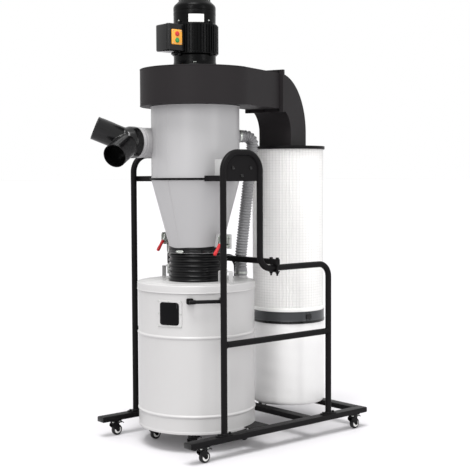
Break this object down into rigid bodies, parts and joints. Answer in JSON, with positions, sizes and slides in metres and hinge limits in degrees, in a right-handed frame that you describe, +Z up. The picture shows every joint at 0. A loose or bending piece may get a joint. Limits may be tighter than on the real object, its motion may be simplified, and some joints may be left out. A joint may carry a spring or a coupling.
{
  "type": "mobile cyclone dust extractor",
  "caption": "Dust extractor on a castered tube frame: fan on a cyclone, lidded drum below, pleated filter with bag beside, split hose inlet.",
  "frame": {"origin": "on the floor, under the middle of the whole machine", "axes": "+Z up; +X along the base rails towards the filter; -Y is the side of the sight window"},
  "size_m": [1.2057, 0.704, 2.006],
  "materials": {
    "frame_paint": "black powder coat, fine texture",
    "housing_paint": "charcoal satin paint",
    "cyclone_paint": "light grey satin paint",
    "drum_paint": "pale warm grey satin paint",
    "bracket_paint": "light grey paint",
    "zinc_steel": "zinc plated",
    "black_plastic": "moulded black plastic",
    "bellows_rubber": "black ribbed rubber",
    "caster_black": "black caster fork",
    "caster_wheel": "black tread with pale hub ring",
    "motor_paint": "black cast motor frame",
    "switch_yellow": "amber switch plate",
    "switch_caps": "red and green buttons",
    "grip_red": "dipped red grip",
    "pleated_media": "pleated filter fleece behind mesh",
    "band_grey": "dark grey clamp band",
    "bag_film": "translucent collection bag",
    "hose_grey": "grey spiral ribbed hose",
    "window_black": "dark sight window"
  },
  "bodies": {
    "frame": {"rail_near": "frame_paint", "rail_far": "frame_paint", "crossbars": "frame_paint", "caster_mounts": "caster_black", "loop_near": "frame_paint", "loop_far": "frame_paint", "side_rails": "frame_paint", "post_feet": "frame_paint", "drum_stops": "frame_paint", "shelves": "frame_paint", "gusset_near": "frame_paint", "cradle_near": "bracket_paint", "cross_bar": "frame_paint", "cross_bar_clamps": "frame_paint", "drum": "drum_paint", "drum_handles": "frame_paint", "window_frame": "drum_paint", "window_pane": "window_black", "bellows": "bellows_rubber", "bellows_band": "black_plastic", "cone": "cyclone_paint", "joint_ring": "frame_paint", "cylinder": "cyclone_paint", "inlet_stub": "cyclone_paint", "inlet_branches": "black_plastic", "fan_housing": "housing_paint", "duct_elbow": "housing_paint", "motor_body": "motor_paint", "motor_cowl": "motor_paint", "switch_box": "black_plastic", "switch_plate": "switch_yellow", "switch_buttons": "switch_caps", "filter_plate": "frame_paint", "filter_cartridge": "pleated_media", "filter_band": "band_grey", "filter_bag": "bag_film", "return_hose": "hose_grey", "clamp_plates": "bracket_paint", "clamp_bases": "zinc_steel"},
    "lid": {"lid": "drum_paint", "lid_brackets": "bracket_paint", "lift_rods": "zinc_steel"},
    "handle_near": {"clamp_handle_near": "grip_red"},
    "handle_far": {"clamp_handle_far": "grip_red"},
    "caster_frame_front_near": {"fork_frame_front_near": "caster_black"},
    "roller_frame_front_near": {"wheel_frame_front_near": "caster_wheel"},
    "caster_frame_rear_near": {"fork_frame_rear_near": "caster_black"},
    "roller_frame_rear_near": {"wheel_frame_rear_near": "caster_wheel"},
    "caster_drum_front_near": {"fork_drum_front_near": "caster_black"},
    "roller_drum_front_near": {"wheel_drum_front_near": "caster_wheel"},
    "caster_drum_rear_near": {"fork_drum_rear_near": "caster_black"},
    "roller_drum_rear_near": {"wheel_drum_rear_near": "caster_wheel"},
    "caster_frame_front_far": {"fork_frame_front_far": "caster_black"},
    "roller_frame_front_far": {"wheel_frame_front_far": "caster_wheel"},
    "caster_frame_rear_far": {"fork_frame_rear_far": "caster_black"},
    "roller_frame_rear_far": {"wheel_frame_rear_far": "caster_wheel"},
    "caster_drum_front_far": {"fork_drum_front_far": "caster_black"},
    "roller_drum_front_far": {"wheel_drum_front_far": "caster_wheel"},
    "caster_drum_rear_far": {"fork_drum_rear_far": "caster_black"},
    "roller_drum_rear_far": {"wheel_drum_rear_far": "caster_wheel"}
  },
  "joints": [
    {"name": "lid_lift", "type": "slide", "parent": "frame", "child": "lid", "axis": [0, 0, 1], "range_m": [0, 0.04], "deforming": ["bellows", "return_hose"]},
    {"name": "clamp_swing_near", "type": "hinge", "parent": "frame", "child": "handle_near", "pos_m": [-0.1872, -0.208, 0.932], "axis": [0, 1, 0], "range_deg": [0, 90]},
    {"name": "clamp_swing_far", "type": "hinge", "parent": "frame", "child": "handle_far", "pos_m": [-0.1872, 0.208, 0.932], "axis": [0, 1, 0], "range_deg": [0, 90]},
    {"name": "swivel_frame_front_near", "type": "hinge", "parent": "frame", "child": "caster_frame_front_near", "pos_m": [-0.4057, -0.327, 0.06], "axis": [0, 0, 1], "continuous": true},
    {"name": "roll_frame_front_near", "type": "hinge", "parent": "caster_frame_front_near", "child": "roller_frame_front_near", "pos_m": [-0.3917, -0.327, 0.025], "axis": [0, 1, 0], "continuous": true},
    {"name": "swivel_frame_rear_near", "type": "hinge", "parent": "frame", "child": "caster_frame_rear_near", "pos_m": [0.5213, -0.327, 0.06], "axis": [0, 0, 1], "continuous": true},
    {"name": "roll_frame_rear_near", "type": "hinge", "parent": "caster_frame_rear_near", "child": "roller_frame_rear_near", "pos_m": [0.5353, -0.327, 0.025], "axis": [0, 1, 0], "continuous": true},
    {"name": "swivel_drum_front_near", "type": "hinge", "parent": "frame", "child": "caster_drum_front_near", "pos_m": [-0.31416, -0.14496, 0.06], "axis": [0, 0, 1], "continuous": true},
    {"name": "roll_drum_front_near", "type": "hinge", "parent": "caster_drum_front_near", "child": "roller_drum_front_near", "pos_m": [-0.30016, -0.14496, 0.025], "axis": [0, 1, 0], "continuous": true},
    {"name": "swivel_drum_rear_near", "type": "hinge", "parent": "frame", "child": "caster_drum_rear_near", "pos_m": [-0.02424, -0.14496, 0.06], "axis": [0, 0, 1], "continuous": true},
    {"name": "roll_drum_rear_near", "type": "hinge", "parent": "caster_drum_rear_near", "child": "roller_drum_rear_near", "pos_m": [-0.01024, -0.14496, 0.025], "axis": [0, 1, 0], "continuous": true},
    {"name": "swivel_frame_front_far", "type": "hinge", "parent": "frame", "child": "caster_frame_front_far", "pos_m": [-0.4057, 0.327, 0.06], "axis": [0, 0, 1], "continuous": true},
    {"name": "roll_frame_front_far", "type": "hinge", "parent": "caster_frame_front_far", "child": "roller_frame_front_far", "pos_m": [-0.3917, 0.327, 0.025], "axis": [0, 1, 0], "continuous": true},
    {"name": "swivel_frame_rear_far", "type": "hinge", "parent": "frame", "child": "caster_frame_rear_far", "pos_m": [0.5213, 0.327, 0.06], "axis": [0, 0, 1], "continuous": true},
    {"name": "roll_frame_rear_far", "type": "hinge", "parent": "caster_frame_rear_far", "child": "roller_frame_rear_far", "pos_m": [0.5353, 0.327, 0.025], "axis": [0, 1, 0], "continuous": true},
    {"name": "swivel_drum_front_far", "type": "hinge", "parent": "frame", "child": "caster_drum_front_far", "pos_m": [-0.31416, 0.14496, 0.06], "axis": [0, 0, 1], "continuous": true},
    {"name": "roll_drum_front_far", "type": "hinge", "parent": "caster_drum_front_far", "child": "roller_drum_front_far", "pos_m": [-0.30016, 0.14496, 0.025], "axis": [0, 1, 0], "continuous": true},
    {"name": "swivel_drum_rear_far", "type": "hinge", "parent": "frame", "child": "caster_drum_rear_far", "pos_m": [-0.02424, 0.14496, 0.06], "axis": [0, 0, 1], "continuous": true},
    {"name": "roll_drum_rear_far", "type": "hinge", "parent": "caster_drum_rear_far", "child": "roller_drum_rear_far", "pos_m": [-0.01024, 0.14496, 0.025], "axis": [0, 1, 0], "continuous": true}
  ],
  "couplings": [
    {"joint": "clamp_swing_near", "follows": "lid_lift", "rad_per_m": 39.2},
    {"joint": "clamp_swing_far", "follows": "lid_lift", "rad_per_m": 39.2}
  ]
}
